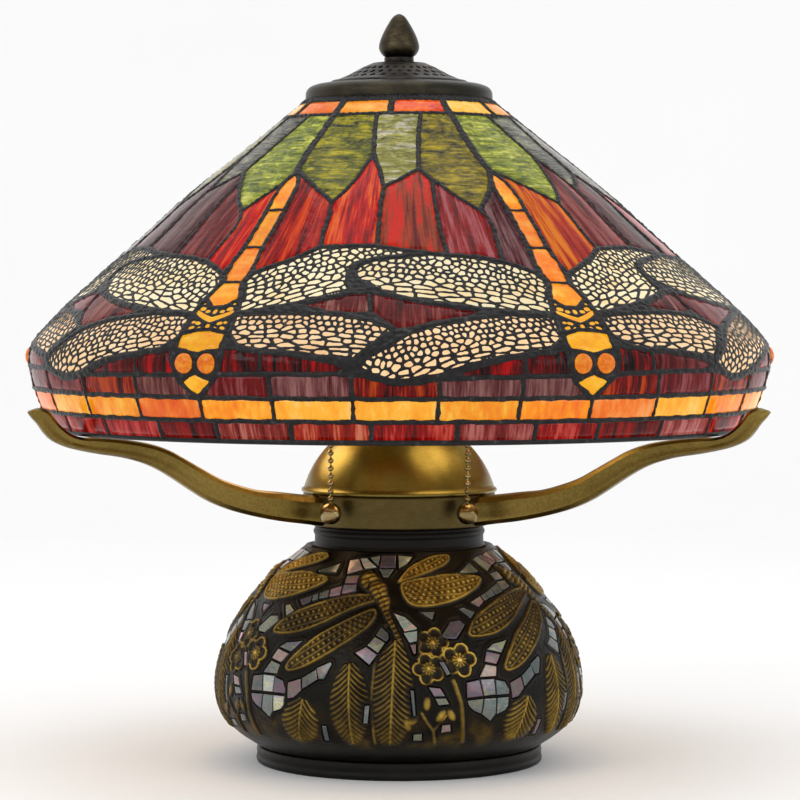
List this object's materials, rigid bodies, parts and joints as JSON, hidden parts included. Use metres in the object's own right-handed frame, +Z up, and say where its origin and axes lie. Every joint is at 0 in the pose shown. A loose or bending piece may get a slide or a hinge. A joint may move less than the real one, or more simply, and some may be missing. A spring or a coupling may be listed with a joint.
{
  "type": "table lamp",
  "caption": "Leaded-glass table lamp: conical shade with a winged-insect pattern resting on arms over a cast, pearl-inlaid base, with pull chains and a finial.",
  "frame": {"origin": "centre of the foot's underside, on the surface it stands on", "axes": "+Z up the lamp's axis, -Y towards the front, +X to the right seen from the front"},
  "size_m": [0.4066, 0.4251, 0.4102],
  "materials": {
    "cast_bronze": "dark patinated cast relief rubbed with gold",
    "dark_foot": "near-black satin",
    "pearl": "mother-of-pearl inlay",
    "aged_brass": "brushed antique brass",
    "bright_brass": "polished brass",
    "steel": "zinc plated",
    "lead": "black patinated solder",
    "gunmetal": "dark bronze patina",
    "amber_glass": "streaky opalescent",
    "red_glass": "streaky opalescent",
    "green_glass": "rippled opalescent",
    "cream_glass": "opalescent",
    "bulb_glass": "frosted",
    "insulator": "glazed porcelain",
    "bushing": "black nylon"
  },
  "bodies": {
    "root": {"foot_ring": "dark_foot", "bottom_plate": "steel", "base_shell": "cast_bronze", "mosaic_tiles": "pearl", "cord_bushing": "bushing", "base_collar": "dark_foot", "central_rod": "steel", "rod_foot_washer": "steel", "rod_foot_nut": "steel", "dome_lock_nut": "aged_brass", "cluster_lock_nut": "aged_brass", "arm_ring": "aged_brass", "arm_right": "aged_brass", "arm_rear": "aged_brass", "arm_left": "aged_brass", "arm_screws": "steel", "heat_dome": "aged_brass", "cluster_body": "aged_brass", "socket_cap_right": "aged_brass", "socket_shell_right": "aged_brass", "socket_core_right": "insulator", "chain_guide_right": "bright_brass", "socket_cap_left": "aged_brass", "socket_shell_left": "aged_brass", "socket_core_left": "insulator", "chain_guide_left": "bright_brass"},
    "shade": {"top_band_glass": "amber_glass", "leaf_glass": "green_glass", "ray_glass": "red_glass", "dragonfly_body_glass": "amber_glass", "wing_glass": "cream_glass", "ground_glass": "red_glass", "border_upper_glass": "red_glass", "border_amber_glass": "amber_glass", "border_lower_glass": "red_glass", "eye_jewels": "amber_glass", "lead_came": "lead", "wing_filigree": "lead", "thorax_filigree": "lead", "rim_wire": "lead", "cap_ring": "gunmetal", "vent_crown": "gunmetal"},
    "finial": {"finial": "gunmetal", "finial_washer": "gunmetal"},
    "bulb_right": {"bulb_right": "bulb_glass", "bulb_base_right": "steel"},
    "bulb_left": {"bulb_left": "bulb_glass", "bulb_base_left": "steel"},
    "pull_right": {"pull_chain_right": "bright_brass", "pull_ball_right": "bright_brass"},
    "pull_left": {"pull_chain_left": "bright_brass", "pull_ball_left": "bright_brass"}
  },
  "joints": [
    {"name": "shade_lift", "type": "slide", "parent": "root", "child": "shade", "axis": [0, 0, 1], "range_m": [0, 0.23]},
    {"name": "finial_turn", "type": "hinge", "parent": "shade", "child": "finial", "pos_m": [0, 0, 0.39], "axis": [0, 0, 1], "continuous": true},
    {"name": "bulb_right_turn", "type": "hinge", "parent": "root", "child": "bulb_right", "pos_m": [0, 0, 0.222], "axis": [0.9781, 0, 0.2079], "continuous": true},
    {"name": "bulb_left_turn", "type": "hinge", "parent": "root", "child": "bulb_left", "pos_m": [0, 0, 0.222], "axis": [-0.9781, 0, 0.2079], "continuous": true},
    {"name": "pull_right_slide", "type": "slide", "parent": "root", "child": "pull_right", "axis": [0, 0, -1], "range_m": [0, 0.01], "stiffness_N_per_m": 120, "springref_m": -0.003},
    {"name": "pull_left_slide", "type": "slide", "parent": "root", "child": "pull_left", "axis": [0, 0, -1], "range_m": [0, 0.01], "stiffness_N_per_m": 120, "springref_m": -0.003}
  ]
}
